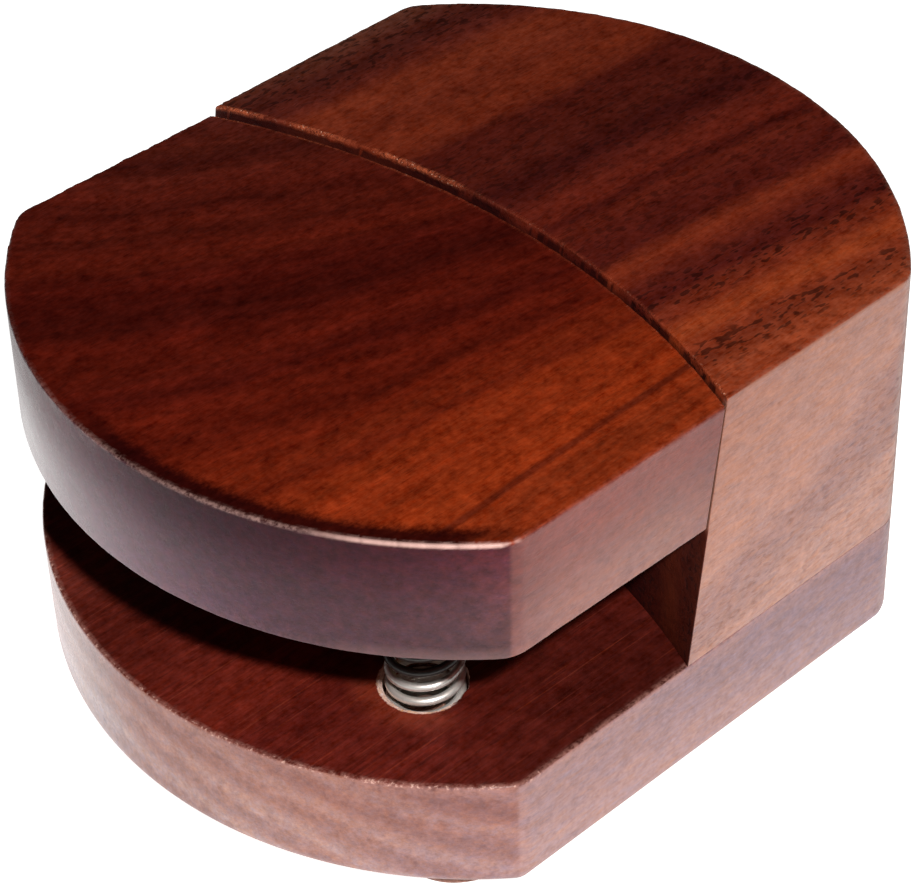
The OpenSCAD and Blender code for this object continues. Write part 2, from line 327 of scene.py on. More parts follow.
class Graph:
    def __init__(self, name):
        self.mat = bpy.data.materials.new(name)
        self.mat.use_nodes = True
        self.t = self.mat.node_tree
        self.t.nodes.clear()
        self.out = self.t.nodes.new("ShaderNodeOutputMaterial")
        self._xyz = None

    def new(self, kind, **props):
        n = self.t.nodes.new(kind)
        for k, v in props.items():
            setattr(n, k, v)
        return n

    def feed(self, socket, value):
        if isinstance(value, Val):
            self.t.links.new(value.s, socket)
        elif isinstance(value, bpy.types.NodeSocket):
            self.t.links.new(value, socket)
        else:
            if hasattr(socket.default_value, "__len__") and hasattr(value, "__len__"):
                value = list(value)
                if len(socket.default_value) == 4 and len(value) == 3:
                    value = value + [1.0]
            socket.default_value = value

    def math(self, op, a, b=None, c=None, clamp=False):
        n = self.new("ShaderNodeMath", operation=op, use_clamp=clamp)
        for k, v in enumerate((a, b, c)):
            if v is not None:
                self.feed(n.inputs[k], v)
        return Val(self, n.outputs[0])

    def xyz(self):
        if self._xyz is None:
            coords = self.new("ShaderNodeTexCoord")
            sep = self.new("ShaderNodeSeparateXYZ")
            self.t.links.new(coords.outputs["Object"], sep.inputs[0])
            self._xyz = [Val(self, o) * 1000.0 for o in sep.outputs]
        return self._xyz

    def vec(self, x, y, z):
        n = self.new("ShaderNodeCombineXYZ")
        for s, v in zip(n.inputs, (x, y, z)):
            self.feed(s, v)
        return n.outputs[0]

    def noise(self, vec, scale=1.0, detail=2.0, rough=0.5, distort=0.0):
        n = self.new("ShaderNodeTexNoise")
        self.t.links.new(vec, n.inputs["Vector"])
        n.inputs["Scale"].default_value = scale
        n.inputs["Detail"].default_value = detail
        n.inputs["Roughness"].default_value = rough
        n.inputs["Distortion"].default_value = distort
        return Val(self, n.outputs[0])

    def cells(self, vec, scale=1.0, feature="F1"):
        n = self.new("ShaderNodeTexVoronoi", feature=feature)
        self.t.links.new(vec, n.inputs["Vector"])
        n.inputs["Scale"].default_value = scale
        return Val(self, n.outputs["Distance"])

    def attr(self, name):
        n = self.new("ShaderNodeAttribute", attribute_name=name)
        return Val(self, n.outputs["Fac"])

    def smooth(self, v, a, b, lo=0.0, hi=1.0):
        n = self.new("ShaderNodeMapRange", interpolation_type="SMOOTHSTEP")
        self.feed(n.inputs["Value"], v)
        n.inputs["From Min"].default_value = a
        n.inputs["From Max"].default_value = b
        n.inputs["To Min"].default_value = lo
        n.inputs["To Max"].default_value = hi
        return Val(self, n.outputs[0])

    def ramp(self, v, stops, lo=0.0, hi=1.0, interp="LINEAR"):
        """Colour by value between lo and hi. stops are (value, linear rgb)."""
        n = self.new("ShaderNodeValToRGB")
        n.color_ramp.interpolation = interp
        self.feed(n.inputs[0], (v - lo) / (hi - lo))
        e = n.color_ramp.elements
        while len(e) < len(stops):
            e.new(0.5)
        for k, (p, c) in enumerate(sorted(stops, key=lambda s: s[0])):
            e[k].position = min(1.0, max(0.0, (p - lo) / (hi - lo)))
        for k, (p, c) in enumerate(sorted(stops, key=lambda s: s[0])):
            e[k].color = (*[float(min(1, max(0, q))) for q in (c if hasattr(c, "__len__") else (c, c, c))], 1.0)
        return n.outputs[0]

    def mix(self, f, a, b, how="MIX"):
        n = self.new("ShaderNodeMix", data_type="RGBA", blend_type=how, clamp_factor=True)
        self.feed(n.inputs[0], f)
        self.feed(n.inputs[6], a)
        self.feed(n.inputs[7], b)
        return n.outputs[2]

    def scale(self, colour, v):
        """colour times the number v."""
        n = self.new("ShaderNodeVectorMath", operation="SCALE")
        self.feed(n.inputs[0], colour)
        self.feed(n.inputs["Scale"], v)
        return n.outputs[0]

    def times(self, colour, vector):
        """colour times another colour, part by part."""
        n = self.new("ShaderNodeVectorMath", operation="MULTIPLY")
        self.feed(n.inputs[0], colour)
        self.feed(n.inputs[1], vector)
        return n.outputs[0]

    def grade(self, colour, v, rows):
        """colour times a factor that follows v. rows are (value, rgb factors up to 2.5)."""
        lo, hi = rows[0][0], rows[-1][0]
        r = self.ramp(v, [(p, [c / 2.5 for c in f]) for p, f in rows], lo, hi)
        return self.scale(self.times(colour, r), 2.5)

    def grey(self, colour):
        n = self.new("ShaderNodeRGBToBW")
        self.t.links.new(colour, n.inputs[0])
        return Val(self, n.outputs[0])

    def bump(self, height, distance, strength=1.0, normal=None):
        n = self.new("ShaderNodeBump")
        n.inputs["Strength"].default_value = strength
        n.inputs["Distance"].default_value = distance
        self.feed(n.inputs["Height"], height)
        if normal is not None:
            self.t.links.new(normal, n.inputs["Normal"])
        return n.outputs[0]

    def surface(self, colour, rough, normal=None, **more):
        n = self.new("ShaderNodeBsdfPrincipled")
        self.feed(n.inputs["Base Color"], colour)
        self.feed(n.inputs["Roughness"], rough)
        if normal is not None:
            self.t.links.new(normal, n.inputs["Normal"])
        for k, v in more.items():
            self.feed(n.inputs[k.replace("_", " ")], v)
        self.t.links.new(n.outputs[0], self.out.inputs["Surface"])
        return self.mat


# ---------------------------------------------------------------- wood
def tones(rows, gain, veil=0.0):
    """Palette rows of (value, sRGB 0-255) as albedo: the seen colour less a veil, over the light's gain."""
    return [(p, np.clip((lin(c) - veil) / np.asarray(gain, float), 0.0006, 0.9)) for p, c in rows]


def top_tones(rows, gain):
    """The same for a top face, with the light's fall-off across X taken out."""
    return [(p, np.clip(lin(c) / np.asarray(gain, float) * ((265 - p) ** 2 + 118045) / 188270, 0.0006, 0.9)) for p, c in rows]


BLOCK_GAIN, JAW_GAIN, BASE_GAIN = (0.68, 0.75, 0.84), (0.82, 0.89, 0.95), (0.88, 1.0, 1.1)

BLOCK_TOP_ROWS = [
    (-44, (84, 50, 40)), (-38, (68, 28, 22)), (-36, (58, 21, 17)), (-33, (78, 29, 22)), (-30, (98, 38, 22)),
    (-26.5, (98, 38, 23)), (-24.5, (88, 32, 19)), (-20, (97, 36, 20)), (-17, (89, 32, 19)), (-15, (66, 20, 14)),
    (-8, (66, 21, 15)), (-4, (52, 14, 12)), (-2, (67, 21, 16)), (1, (84, 28, 19)), (3.4, (84, 27, 18)), (5, (62, 17, 13)),
    (7, (80, 26, 17)), (10, (72, 22, 16)), (13.6, (68, 20, 15)), (16, (106, 40, 23)), (18, (92, 32, 20)),
    (20, (76, 25, 19)), (22.6, (68, 20, 16)), (24.6, (98, 37, 23)), (26, (102, 38, 23)), (29, (130, 55, 28)),
    (31, (114, 46, 27)), (33, (96, 38, 23)), (36, (128, 57, 34)), (40, (118, 46, 24)),
]
JAW_TOP_ROWS = [
    (-38, (78, 30, 24)), (-34, (72, 24, 17)), (-31, (72, 24, 16)), (-28, (59, 17, 12)), (-25, (74, 23, 15)),
    (-22, (80, 24, 15)), (-18, (68, 18, 11)), (-15, (75, 21, 12)), (-12, (69, 18, 10)), (-10, (81, 22, 12)),
    (-8, (76, 20, 10)), (-6, (66, 15, 8)), (-4, (70, 16, 9)), (-2, (63, 13, 7)), (0, (56, 11, 6)), (2, (62, 13, 7)),
    (4, (74, 17, 8)), (6, (78, 19, 9)), (8, (75, 18, 9)), (10, (69, 15, 8)), (13, (84, 21, 9)), (16, (78, 19, 8)),
    (18.5, (94, 26, 10)), (20.5, (101, 31, 12)), (22.2, (98, 29, 12)), (24, (113, 37, 13)), (28, (122, 41, 15)),
    (31, (128, 44, 15)), (35, (121, 43, 17)), (40, (127, 47, 19)),
]
BASE_TOP_ROWS = [
    (-38, (84, 28, 22)), (-20, (92, 37, 30)), (-14, (76, 26, 20)), (-6, (75, 24, 18)), (2, (86, 28, 21)),
    (9, (96, 31, 22)), (15, (80, 24, 19)), (22, (85, 27, 21)), (29, (90, 30, 24)), (40, (76, 26, 21)),
]


def pores(g, x, y, z, seed, fine=1.0):
    """Long open vessels along Y: dark dashes on faces along the grain, dots on end grain."""
    wob = g.noise(g.vec(x * 0.25, y * 0.06, z * 0.25), 1.0, 1.0) * 1.2
    a = g.noise(g.vec(x * (2.3 * fine) + wob + seed, y * (0.34 if fine == 1.0 else 0.7), z * (2.3 * fine) + wob), 1.0, 1.0, 0.4)
    b = g.noise(g.vec(x * (4.6 * fine) - wob, y * 0.62 + seed, z * (4.6 * fine)), 1.0, 0.0)
    return a, b


def wood(name, kind):
    g = Graph(name)
    x, y, z = g.xyz()
    side, endg, edge = g.attr("side"), g.attr("endg"), g.attr("edge")
    seed = {"block": 3.0, "jaw": 17.0, "base": 31.0}[kind]
    slow = g.noise(g.vec(x * 0.06 + seed, y * 0.022, z * 0.06), 1.0, 2.0) - 0.5
    quick = g.noise(g.vec(x * 0.33, y * 0.05 + seed, z * 0.33), 1.0, 3.0, 0.6) - 0.5
    fibre = g.noise(g.vec(x * 5.5, y * 0.20 + seed, z * 5.5), 1.0, 3.0, 0.6) - 0.5
    hair = g.noise(g.vec(x * 13.0 + seed, y * 0.55, z * 13.0), 1.0, 2.0, 0.6) - 0.5
    mottle = g.noise(g.vec(x * 0.5, y * 0.3, z * 0.5 + seed), 1.0, 3.0, 0.65) - 0.5
    speck = g.noise(g.vec(x * 2.1, y * 1.5, z * 2.1 + seed), 1.0, 3.0, 0.7) - 0.5
    blotch = g.noise(g.vec(x * 0.95 + seed, y * 0.75, z * 0.95), 1.0, 2.0, 0.6) - 0.5
    pa, pb = pores(g, x, y, z, seed, {"block": 0.72, "jaw": 1.0, "base": 1.0}[kind])
    hue = g.noise(g.vec(x * 0.9, y * 0.2 + seed, z * 1.1), 1.0, 2.0, 0.6) - 0.5
    hue2 = g.noise(g.vec(x * 2.6 + seed, y * 0.8, z * 2.8), 1.0, 1.0, 0.6) - 0.5
    if kind == "block":
        ring = x - 0.1 * y + 0.2 * (z - 51.3) + slow * 3.2 + quick * 1.8
        top = g.ramp(ring, top_tones(BLOCK_TOP_ROWS, BLOCK_GAIN), -45, 45)
        dense = g.grey(g.ramp(ring, [(-45, 0.9), (-35, 0.8), (-32, 0.12), (-18, 0.15), (-14, 0.5), (-1, 0.55), (1, 0.2), (4.5, 0.5), (14, 0.45), (15.5, 0.1), (19, 0.2), (21, 0.9), (25, 0.95), (26.5, 0.2), (30.5, 0.15), (31.6, 0.95), (34.4, 0.95), (35.6, 0.3), (45, 0.4)], -45, 45))
        flat = g.ramp(ring, tones([(28, (190, 150, 139)), (32.4, (191, 149, 137)), (33.1, (174, 137, 130)), (34.3, (172, 134, 128)), (35.3, (191, 146, 133)), (37.6, (187, 139, 124)), (40.2, (182, 129, 113)), (44, (180, 126, 110))], (1.36, 1.46, 1.5), 0.05), 27, 45)
        end = g.ramp(ring, tones([(-45, (140, 100, 88)), (-20, (160, 116, 100)), (-5, (128, 88, 76)), (12, (150, 106, 92)), (28, (165, 122, 106)), (45, (140, 98, 84))], (1.4, 1.5, 1.5), 0.05), -45, 45)
    elif kind == "jaw":
        ring = x - 0.3 * y + 0.01 * x * y + 0.12 * (z - 50) + slow * 4.0 + quick * 2.2
        top = g.ramp(ring, top_tones(JAW_TOP_ROWS, JAW_GAIN), -40, 42)
        line = g.smooth(g.math("ABSOLUTE", x - 32.6 + 0.035 * y + slow * 1.0), 0.15, 0.75, 0.6, 0.0)
        top = g.mix(line, top, lin((60, 16, 10)))
        streak = g.noise(g.vec(ring * 0.75, y * 0.03 + seed, z * 0.1), 1.0, 2.0, 0.65) - 0.5
        top = g.scale(top, 1.0 + streak * 1.1)
        spot = g.math("EXPONENT", -(((x + 9.2) * (x + 9.2) + (y + 31.5) * (y + 31.5)) * 0.16))
        top = g.scale(top, spot * 0.55 + 1.0)
        inward = 51.15 - g.math("SQRT", x * x + (y - 1.47) * (y - 1.47))
        # a dark band just inside the jaw's front top edge, from about x -12 to x 41
        front_dark_band = g.smooth(inward + speck * 1.2 + blotch * 0.8, 1.7, 3.7, 1.0, 0.0) * g.smooth(x + mottle * 8, -12.0, 2.0) * g.smooth(x + mottle * 4, 41.0, 35.0)
        top = g.mix(front_dark_band * 0.94, top, lin((36, 3, 3)))
        dense = g.smooth(ring, -40, 10, 0.3, 0.04)
        flat = g.ramp(y + mottle * 6, tones([(-36, (120, 84, 84)), (-30, (146, 104, 100)), (-22, (160, 114, 107)), (-8, (158, 116, 108)), (2, (152, 104, 94))], (1.4, 1.36, 1.3), 0.05), -36, 4)
        # the front end runs darker towards the top: partly the end grain's own colour, partly painted reflection of the
        # white floor low down
        end = g.ramp(z + mottle * 4, tones([(35, (94, 62, 69)), (42, (86, 55, 61)), (51, (70, 44, 48))], (1.5, 1.5, 1.5), 0.02), 35, 51)
    else:
        rad = g.math("SQRT", (x + 10) * (x + 10) + (z + 80) * (z + 80)) + slow * 3.0 + quick * 1.4
        ring = x + slow * 4.0 + quick * 2.5
        top = g.ramp(ring, top_tones(BASE_TOP_ROWS, BASE_GAIN), -40, 40)
        wave = g.math("SINE", rad * 1.25 + mottle * 3.5) * 0.32 + 0.5 + blotch * 0.5
        # grain waves, and painted shade: the top is darkened towards the rear, under the jaw
        top = g.scale(top, (wave * 0.12 + 0.94) * g.smooth(y, -38, -14, 1.04, 0.62))
        thread = g.noise(g.vec(x * 1.25 + seed, y * 0.045 - x * 0.02, 7.0), 1.0, 3.0, 0.7) - 0.5
        top = g.scale(top, 1.0 + thread * 1.5)
        lines = g.smooth(g.noise(g.vec(x * 2.7 + seed, y * 0.04, 3.0), 1.0, 2.0, 0.6), 0.6, 0.72)
        top = g.mix(lines * 0.3, top, lin((140, 58, 38)))
        # paler wood, and loose fibres at the front of each drilled mouth
        off = g.math("ABSOLUTE", x) - 21.0
        dist = g.math("SQRT", off * off + (y + 25.9) * (y + 25.9))
        front = 0.5 - g.math("DIVIDE", y + 25.9, dist) * 0.5
        past = dist - 4.84 - front * front * 0.45 + speck * 0.5
        upper = g.smooth(z, 14.5, 15.8)
        glow = g.smooth(past, 0.0, 4.5, 1.0, 0.0) * g.smooth(y, -26.5, -29.5) * upper
        top = g.mix(glow * 0.4, top, lin((140, 58, 36)))
        top = g.mix(g.smooth(past, 0.1, 0.28, 0.8, 0.0) * g.smooth(y, -25.6, -27.4) * upper, top, lin((228, 192, 174)))
        dense = g.smooth(mottle, -0.2, 0.3, 0.05, 0.35)
        tilt = y * 0.35 + z - 4 + slow * 8
        flat = g.ramp(tilt, tones([(-6, (188, 150, 145)), (3, (184, 148, 144)), (7, (176, 145, 145)), (24, (172, 141, 143))], (1.5, 1.5, 1.5), 0.05), -8, 26)
        end = g.ramp(wave, tones([(0, (163, 117, 109)), (0.55, (180, 132, 123)), (1, (192, 147, 137))], (1.42, 1.46, 1.42), 0.05), 0, 1)
    pore = g.math("MAXIMUM", g.math("MULTIPLY", g.smooth(pa, *{"block": (0.55, 0.66), "jaw": (0.6, 0.68), "base": (0.6, 0.68)}[kind]), dense), g.math("MULTIPLY", g.smooth(pb, 0.68, 0.76), 0.25 + dense * 0.5))
    # long grain against end grain, then faces against the top. The grades below, along x, y and z, are partly the
    # wood's own colour and partly painted light: painted floor bounce and painted reflection of the white floor.
    if kind == "block":
        # partly painted floor bounce: the block's sides lighter low down, near the base
        flat = g.grade(flat, z, [(16, (1.12, 1.15, 1.14)), (25, (1.1, 1.13, 1.12)), (37, (1.0, 1.01, 1.0)), (47, (0.93, 0.96, 0.97)), (52, (0.9, 0.93, 0.95))])
    elif kind == "jaw":
        # partly painted light and shade: the jaw's sides lighter low down, darker and redder near the top, darker at
        # the front
        flat = g.grade(flat, z + speck * 3, [(34.5, (1.12, 1.14, 1.12)), (38, (1.08, 1.09, 1.06)), (43, (0.84, 0.67, 0.65)), (47.7, (0.79, 0.45, 0.4)), (50.5, (0.8, 0.46, 0.42))])
        flat = g.grade(flat, y + mottle * 3, [(-31, (0.8, 0.68, 0.7)), (-28.5, (0.92, 0.82, 0.8)), (-25, (1.0, 0.96, 0.92)), (-8, (1.0, 0.97, 0.96)), (0, (0.97, 0.98, 1.06))])
        # partly painted reflection of the white floor: the jaw's front end lightened and blued left of centre and at
        # the right corner
        end = g.grade(end, x + mottle * 4, [(-40, (1.3, 1.25, 1.25)), (-29, (1.3, 1.2, 1.2)), (-23, (1.7, 1.65, 1.65)), (-16, (1.95, 2.0, 2.1)), (-8, (1.95, 2.1, 2.4)), (0, (1.6, 1.65, 2.1)), (8, (1.16, 1.14, 1.5)), (16, (0.96, 0.96, 1.2)), (24, (0.9, 0.86, 0.98)), (31, (1.02, 0.94, 1.0)), (36, (1.2, 1.28, 1.22)), (40, (1.85, 2.1, 1.7))])
        end = g.scale(end, 1.0 + mottle * 0.45 + blotch * 0.5)
        # painted light: the front end's brightness slopes with height, darker upwards around x 8 to 16, lighter upwards
        # near the right corner
        light_slope = g.grey(g.ramp(x, [(-6, 0.4), (8, 0.0), (16, 0.1), (24, 0.45), (31, 0.6), (36, 0.85), (40, 1.0)], -6, 40)) * 0.1 - 0.04
        end = g.scale(end, 1.0 + light_slope * (z - 43.0))
    else:
        # partly painted floor bounce: the base's sides lighter and bluer low down
        flat = g.grade(flat, z, [(1, (1.16, 1.17, 1.2)), (5.5, (1.14, 1.14, 1.17)), (10, (0.98, 0.96, 1.02)), (14, (0.96, 0.92, 0.96)), (17, (0.95, 0.9, 0.94))])
        # partly painted reflection of the white floor: the base's front end lightened and blued towards the left and
        # low down
        end = g.grade(end, x + mottle * 5, [(-40, (2.2, 2.5, 2.5)), (-29, (1.9, 2.3, 2.4)), (-23, (1.5, 1.95, 2.3)), (-16, (1.4, 1.95, 2.2)), (-8, (1.27, 1.75, 1.95)), (0, (1.18, 1.38, 1.42)), (8, (1.12, 1.28, 1.28)), (16, (1.11, 1.27, 1.28)), (24, (1.09, 1.17, 1.14)), (31, (0.96, 1.04, 1.08)), (40, (0.92, 1.0, 1.09))])
        end = g.grade(end, z + blotch * 4, [(1, (1.1, 1.24, 1.34)), (5.5, (1.07, 1.18, 1.25)), (10, (1.03, 1.0, 0.98)), (13.7, (0.88, 0.8, 0.79)), (17, (0.84, 0.76, 0.75))])
    edgewise = g.mix(endg, flat, end)
    tint = hue * 0.6 + hue2 * 0.4
    edgewise = g.times(edgewise, g.vec(1.0 + tint * 0.6, 1.0 - tint * 0.1, 1.0 - tint * 1.1))
    # the faces take the pale side colours against the dark top: partly the wood's own colour, partly painted reflection
    # of the white floor
    colour = g.mix(side, top, edgewise)
    coarse = mottle * 1.2 + blotch * {"block": 0.8, "jaw": 1.1, "base": 1.0}[kind]
    fine = fibre * 0.7 + hair * 0.4 + speck * 1.1
    vary = coarse + fine * (0.42 + side * 0.68)
    calm = 1.0 - side * 0.52
    swing = vary * calm
    low = 0.3
    colour = g.times(colour, g.vec(g.math("MAXIMUM", 1.0 + swing, low), g.math("MAXIMUM", 1.0 + swing * 1.25 + fine * (1.0 - side) * 0.7, low), g.math("MAXIMUM", 1.0 + swing * 1.35 + fine * (1.0 - side) * 1.7, low)))
    dark_pore = g.scale(colour, 0.24 if kind == "block" else 0.34)
    colour = g.mix(pore * (0.85 - side * 0.74), colour, dark_pore)
    # worn, paler arrises. On the jaw, the bright line along the front top edge is a painted highlight and the pale
    # specks to its left are wear with painted highlight; on the block, the pale lines where the saw cut meets the sides
    # are painted highlights.
    worn = edge * g.smooth(speck + mottle * 0.5, -0.25, 0.2)
    pale = {"block": (150, 96, 78), "jaw": (214, 172, 162), "base": (190, 134, 122)}[kind]
    if kind == "jaw":
        # painted highlight: a bright pale line along the jaw's front top edge, from about x 20 to the right corner
        edge_highlight = g.smooth(x + mottle * 8, 20.0, 33.0, 0.0, 1.0) * g.smooth(y, -28.6, -30.2)
        dots = worn * g.smooth(x, -30.0, 20.0, 0.06, 0.38) * g.smooth(y, -27.5, -30.0, 0.15, 1.0)
        colour = g.mix(g.math("MAXIMUM", dots, edge * edge_highlight * 0.95), colour, lin(pale))
    else:
        colour = g.mix(worn * {"block": 0.45, "base": 0.6}[kind], colour, lin(pale) / 1.3)
        if kind == "base":
            chips = g.smooth(edge + speck * 0.7, 1.02, 1.12) * g.smooth(y + mottle * 6, -24.0, -29.0) * g.smooth(z, 14.0, 15.4)
            colour = g.mix(chips * 0.6, colour, lin((228, 184, 168)))
    torn = g.attr("torn")
    shred = g.smooth(fibre + speck * 0.8, -0.3, 0.25)
    fleck = g.smooth(g.noise(g.vec(x * 3.1, y * 3.1, z * 5.0 + seed), 1.0, 2.0), 0.64, 0.7)
    shreds = g.mix(shred, lin((58, 15, 10)), lin((184, 90, 56)))
    colour = g.mix(torn, colour, g.mix(fleck, shreds, lin((226, 168, 140))))
    sawn_and_shaded = g.attr("sawn")
    marks = g.noise(g.vec(x * 0.4, y * 0.4, z * 2.4 + seed), 1.0, 2.0) - 0.5
    # painted shade: the sawn faces, which sit between the jaw and the block, are darkened towards a deep red-brown; the
    # saw marks on them are their own
    colour = g.mix(sawn_and_shaded * 0.75, colour, lin((44, 10, 10)))
    colour = g.scale(colour, (1.0 + marks * sawn_and_shaded * 0.35) * (1.0 - sawn_and_shaded * 0.25))
    rough = 0.38 + side * 0.06 + fibre * 0.16 + mottle * 0.14 + pore * 0.2 - worn * 0.1 + torn * 0.3 + sawn_and_shaded * 0.12
    height = 0.5 + fibre * 0.22 + hair * 0.12 + speck * 0.12 - pore * 0.8 + torn * shred * 0.9 + marks * sawn_and_shaded * 0.8
    normal = g.bump(height, 0.0001, 0.55)
    soft = g.bump(mottle + slow, 0.0005, 0.25, normal)
    if kind == "jaw":
        sheen = side * (g.smooth(x, 22.0, -16.0, 0.1, 1.0) * g.smooth(x, -34.0, -18.0, 0.3, 1.0) * g.smooth(z, 49.0, 37.0, 0.3, 1.0) * endg + (1.0 - endg) * 0.1)
        spec = 0.12 + side * (0.14 - endg * g.smooth(z, 50, 40, 0.2, 0.1))
    elif kind == "base":
        sheen = side * (0.05 + endg * g.smooth(x, 3.0, -18.0, 0.0, 0.6))
        spec = 0.12 + side * 0.08
    else:
        sheen = side * 0.06
        spec = 0.12 + side * 0.08
    coat = sheen + 0.03
    return g.surface(colour, rough, soft, Coat_Weight=coat, Coat_Roughness=0.28 + mottle * 0.12, Specular_IOR_Level=spec)


def raw_wood(name, seed, lip=None):
    """Drilled and sawn faces: dry, pale, torn fibres. lip is the height of a chipped, paler mouth."""
    g = Graph(name)
    x, y, z = g.xyz()
    fibre = g.noise(g.vec(x * 4.0 + seed, y * 0.5, z * 4.0), 1.0, 3.0, 0.65)
    tear = g.noise(g.vec(x * 2.2, y * 2.2, z * 3.0 + seed), 1.0, 3.0, 0.7)
    spin = g.noise(g.vec(x * 0.2, y * 0.2, z * 9.0), 1.0, 1.0)
    colour = g.mix(g.smooth(fibre + tear * 0.6, 0.5, 1.05), lin((92, 52, 42)), lin((186, 140, 122)))
    colour = g.scale(colour, 0.8 + spin * 0.4)
    if lip is not None:
        near = g.smooth(g.math("ABSOLUTE", z - lip), 0.38, 0.6, 1.0, 0.0)
        colour = g.mix(near * g.smooth(fibre + tear, 0.7, 1.05, 0.55, 1.0), colour, lin((236, 204, 190)))
    height = fibre * 0.5 + tear * 0.6 + spin * 0.3
    return g.surface(colour, 0.62 + tear * 0.25, g.bump(height, 0.00015, 0.8), Specular_IOR_Level=0.3)


def metal(name, colour, tarnish, rough, seed, drawn=(0.4, 6.0, 6.0), worn=0.5, spots=0.35, shade_above=None, metallic=1.0):
    g = Graph(name)
    x, y, z = g.xyz()
    lines = g.noise(g.vec(x * drawn[0] + seed, y * drawn[1], z * drawn[2]), 1.0, 3.0, 0.6)
    cloud = g.noise(g.vec(x * 0.35, y * 0.35 + seed, z * 0.35), 1.0, 4.0, 0.6)
    dots = g.noise(g.vec(x * 1.9 + seed, y * 1.9, z * 1.9), 1.0, 3.0, 0.7)
    stain = g.smooth(cloud + dots * 0.4, 0.52, 0.95) * worn
    pit = g.smooth(dots, 0.64, 0.72) * spots
    col = g.mix(stain, colour, tarnish)
    col = g.mix(pit, col, [c * 0.35 for c in tarnish])
    col = g.scale(col, 0.86 + lines * 0.28)
    if shade_above is not None:
        # painted shade: the upper turns, which sit in the jaw's shadow, are darkened to 7 percent of their colour
        col = g.scale(col, g.smooth(z + cloud * 2.0, shade_above, shade_above + 1.4, 1.0, 0.07))
    r = rough + lines * 0.12 + stain * 0.22 + pit * 0.2 - 0.06
    round_edge = g.new("ShaderNodeBevel", samples=6)
    round_edge.inputs["Radius"].default_value = 0.00014
    height = lines * 0.5 + cloud * 0.4 - pit * 0.9
    normal = g.bump(height, 0.00004, 0.55, round_edge.outputs[0])
    return g.surface(col, r, normal, Metallic=metallic)


def rubber(name):
    g = Graph(name)
    x, y, z = g.xyz()
    grain = g.noise(g.vec(x * 2.4, y * 2.4, z * 2.4), 1.0, 4.0, 0.7)
    fine = g.noise(g.vec(x * 9.0, y * 9.0, z * 9.0), 1.0, 2.0, 0.6)
    dust = g.noise(g.vec(x * 0.5, y * 0.5, z * 0.9), 1.0, 3.0, 0.6)
    colour = g.mix(g.smooth(grain, 0.35, 0.7), lin((112, 74, 62)), lin((156, 112, 96)))
    colour = g.mix(g.smooth(dust, 0.55, 0.8) * 0.35, colour, lin((178, 150, 136)))
    return g.surface(colour, 0.66 + fine * 0.2 - grain * 0.1, g.bump(grain * 0.6 + fine * 0.4, 0.0001, 0.7), Specular_IOR_Level=0.35)


MAT = {
    "base": wood("walnut_base_board", "base"),
    "block": wood("walnut_rear_block", "block"),
    "jaw": wood("walnut_front_jaw", "jaw"),
    "raw_base": raw_wood("walnut_cut_base", 5.0, BASE_TOP),
    "raw_block": raw_wood("walnut_cut_block", 9.0),
    "raw_jaw": raw_wood("walnut_cut_jaw", 13.0),
    "spring": metal("spring_wire", (0.93, 0.9, 0.85), (0.6, 0.52, 0.45), 0.36, 2.0, (0.8, 0.8, 0.8), 0.25, 0.2, 20.3, 0.72),
    "brass": metal("hinge_brass_aged", (0.83, 0.60, 0.27), (0.34, 0.20, 0.09), 0.27, 6.0),
    "brass_screw": metal("screw_brass_aged", (0.80, 0.58, 0.28), (0.30, 0.18, 0.08), 0.3, 8.0, (2.0, 2.0, 2.0)),
    "steel": metal("screw_steel_zinc", (0.62, 0.62, 0.60), (0.28, 0.26, 0.22), 0.32, 11.0, (2.0, 2.0, 2.0)),
    "seat": metal("seat_steel_pressed", (0.58, 0.57, 0.55), (0.25, 0.22, 0.18), 0.34, 15.0, (1.5, 1.5, 1.5)),
    "rubber": rubber("foot_pad"),
}


# ---------------------------------------------------------------- boards
def arc(x, y):
    """Length along the outline, roughly, for one-dimensional noise."""
    return np.arctan2(x, -y) * 48.0 + 400


def ease(x, y, size, seed, share=0.35):
    s = arc(x, y)
    return size * (1 + share * (0.6 * hash_noise(s * 0.9, seed) + 0.4 * hash_noise(s * 2.7, seed + 1)))


